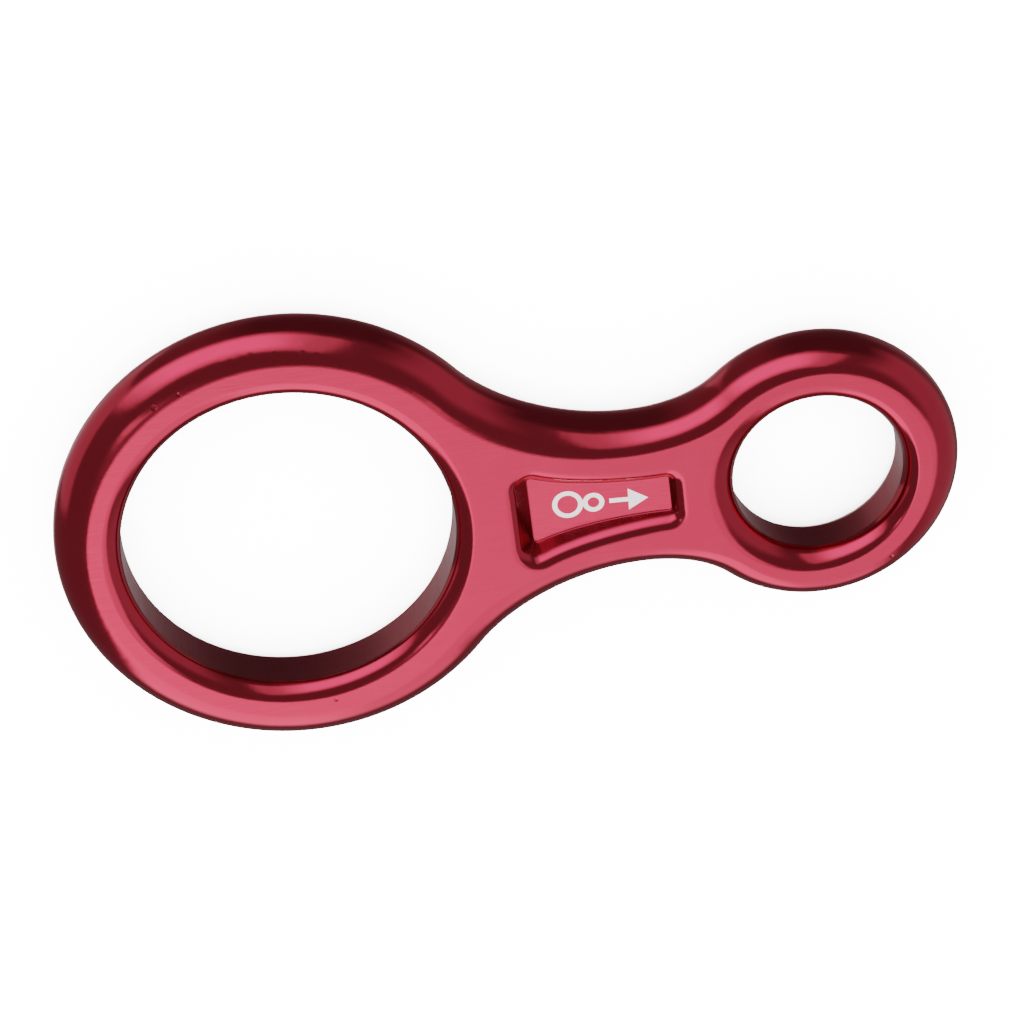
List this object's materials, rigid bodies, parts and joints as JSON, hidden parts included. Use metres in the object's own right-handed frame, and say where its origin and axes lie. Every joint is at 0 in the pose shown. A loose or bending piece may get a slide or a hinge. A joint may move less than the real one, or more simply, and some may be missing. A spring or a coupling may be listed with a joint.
{
  "type": "rope descender",
  "caption": "Flat metal rope descender in the shape of a figure eight: a large rope ring, a waisted neck with a recessed panel, and a small connector ring.",
  "frame": {"origin": "centre of the plan outline's bounding box, on the plane of the lower ground face", "axes": "+X along the length, from the large ring to the small ring; +Z is the normal of the upper face"},
  "size_m": [0.12, 0.0622, 0.0095],
  "materials": {
    "anodised_aluminium": "deep red anodised, polished on the rounds, finely linished along the length on the flat faces, satin in the bores"
  },
  "bodies": {
    "root": {"descender_body": "anodised_aluminium"}
  },
  "joints": []
}
